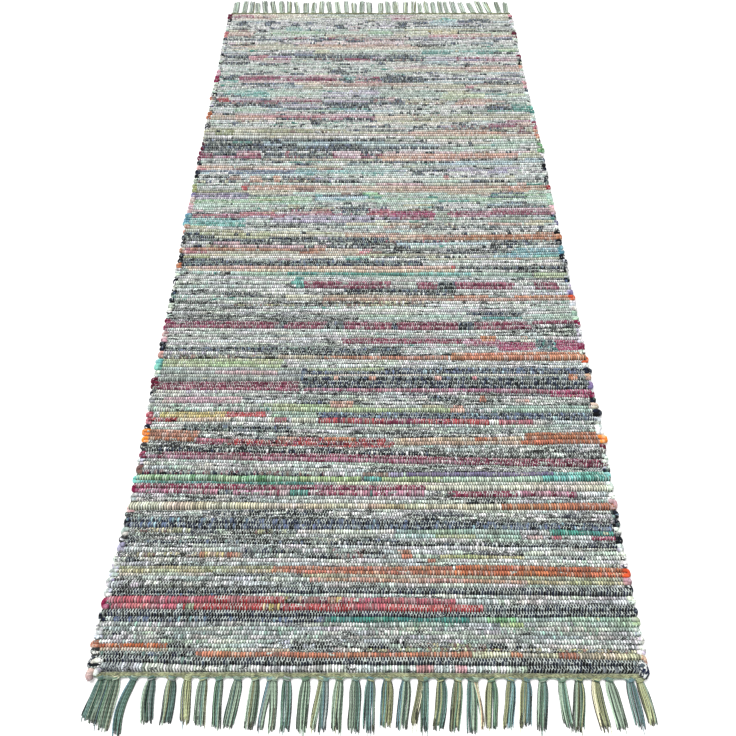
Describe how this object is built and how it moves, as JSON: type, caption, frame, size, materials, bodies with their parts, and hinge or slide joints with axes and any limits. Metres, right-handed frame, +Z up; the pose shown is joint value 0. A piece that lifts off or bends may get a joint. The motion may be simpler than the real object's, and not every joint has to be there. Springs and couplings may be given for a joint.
{
  "type": "rag rug",
  "caption": "Flat hand-woven rag rug with ribbed weft rows, looped selvedges and a knotted fringe at both ends.",
  "frame": {"origin": "centre of the cloth's flat underside", "axes": "+Z up out of the rug's face, +Y along the rug from the near end to the far end, +X across it"},
  "size_m": [0.7169, 1.5277, 0.006],
  "materials": {
    "woven_rags": "matte cotton rags in many colours",
    "fringe_yarn": "matte sage green cotton yarn"
  },
  "bodies": {
    "root": {"woven_body": "woven_rags", "fringe_near": "fringe_yarn", "fringe_far": "fringe_yarn"}
  },
  "joints": []
}
